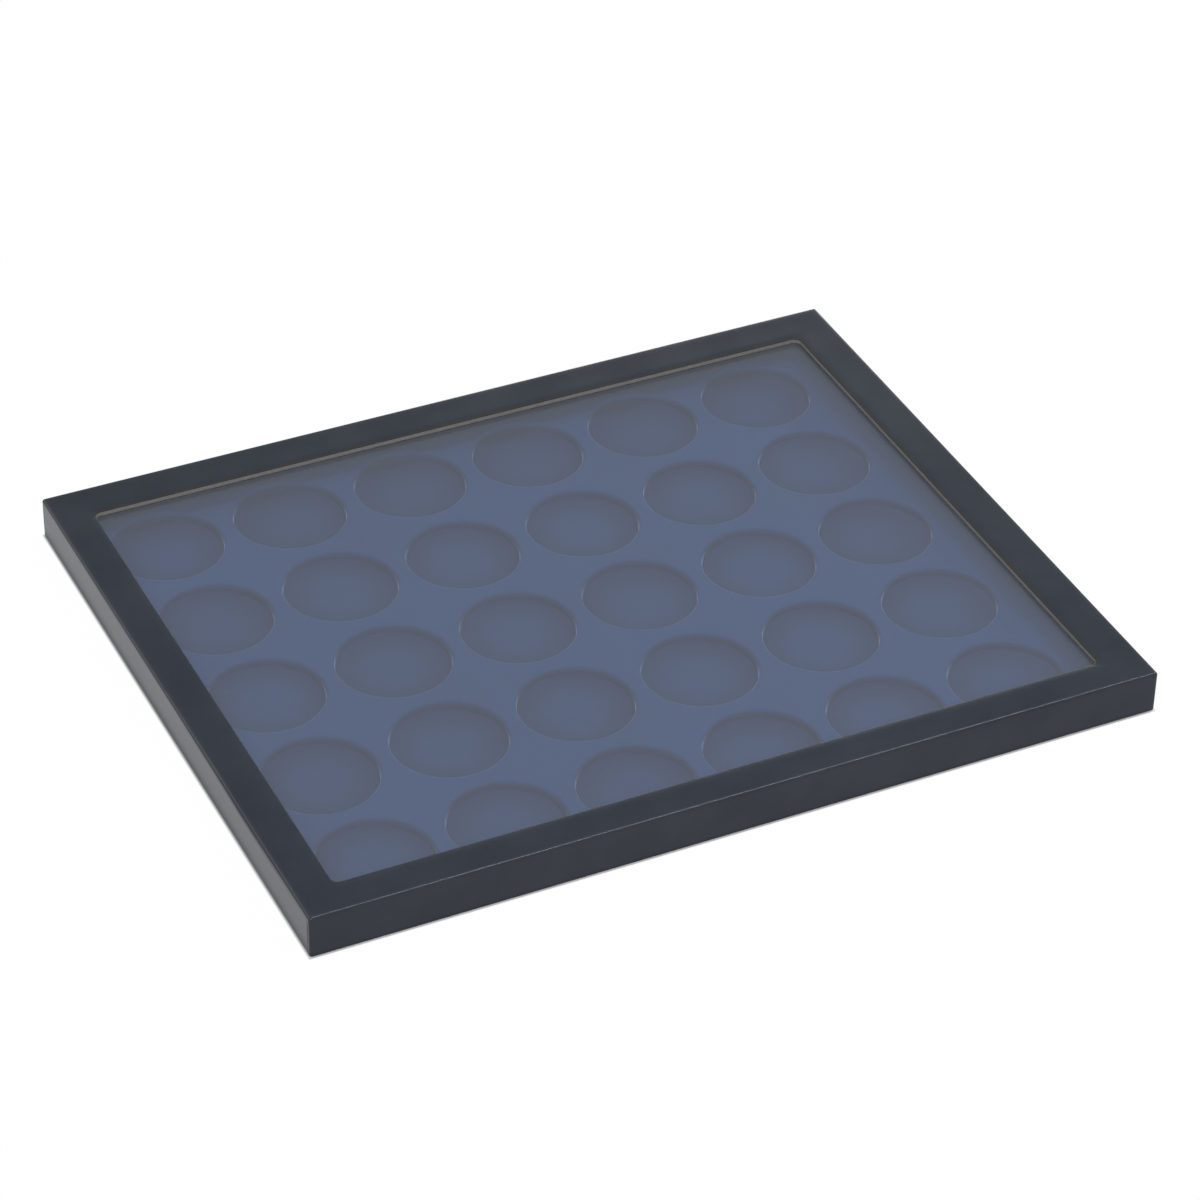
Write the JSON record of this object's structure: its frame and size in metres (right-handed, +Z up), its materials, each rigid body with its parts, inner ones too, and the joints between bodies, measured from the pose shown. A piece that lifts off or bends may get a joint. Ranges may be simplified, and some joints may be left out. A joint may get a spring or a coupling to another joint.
{
  "type": "coin display case",
  "caption": "Shallow paper-wrapped board case with a lift-off window lid over a removable flocked tray of round coin wells.",
  "frame": {"origin": "middle of the closed case's underside, on the surface that it stands on", "axes": "+X along the long side to the right, +Y to the back, +Z up through the window"},
  "size_m": [0.305, 0.2466, 0.0158],
  "materials": {
    "black_paper": "grained black covering paper, low sheen",
    "greyboard": "raw greyboard, cut edges showing",
    "corner_tape": "gummed kraft paper tape",
    "mounting_tape": "double-sided tape",
    "lining_paper": "smooth matt black paper",
    "sole_paper": "smooth matt black paper",
    "clear_sheet": "clear rigid sheet, glossy both sides",
    "blue_flock": "short blue flock on formed sheet"
  },
  "bodies": {
    "base": {"base_board": "greyboard", "base_wrap": "black_paper", "base_lining": "lining_paper", "base_bottom_sheet": "sole_paper", "base_corner_stay_front_left": "corner_tape", "base_corner_stay_front_right": "corner_tape", "base_corner_stay_back_left": "corner_tape", "base_corner_stay_back_right": "corner_tape"},
    "tray": {"coin_tray": "blue_flock"},
    "lid": {"lid_board": "greyboard", "lid_wrap": "black_paper", "window_pane": "clear_sheet", "lid_lining": "lining_paper", "lid_corner_stay_front_left": "corner_tape", "lid_corner_stay_front_right": "corner_tape", "lid_corner_stay_back_left": "corner_tape", "lid_corner_stay_back_right": "corner_tape", "pane_tape_front": "mounting_tape", "pane_tape_back": "mounting_tape", "pane_tape_left": "mounting_tape", "pane_tape_right": "mounting_tape"}
  },
  "joints": [
    {"name": "tray_lift", "type": "slide", "parent": "base", "child": "tray", "axis": [0, 0, 1], "range_m": [0, 0.05]},
    {"name": "lid_lift", "type": "slide", "parent": "tray", "child": "lid", "axis": [0, 0, 1], "range_m": [0, 0.06]}
  ]
}
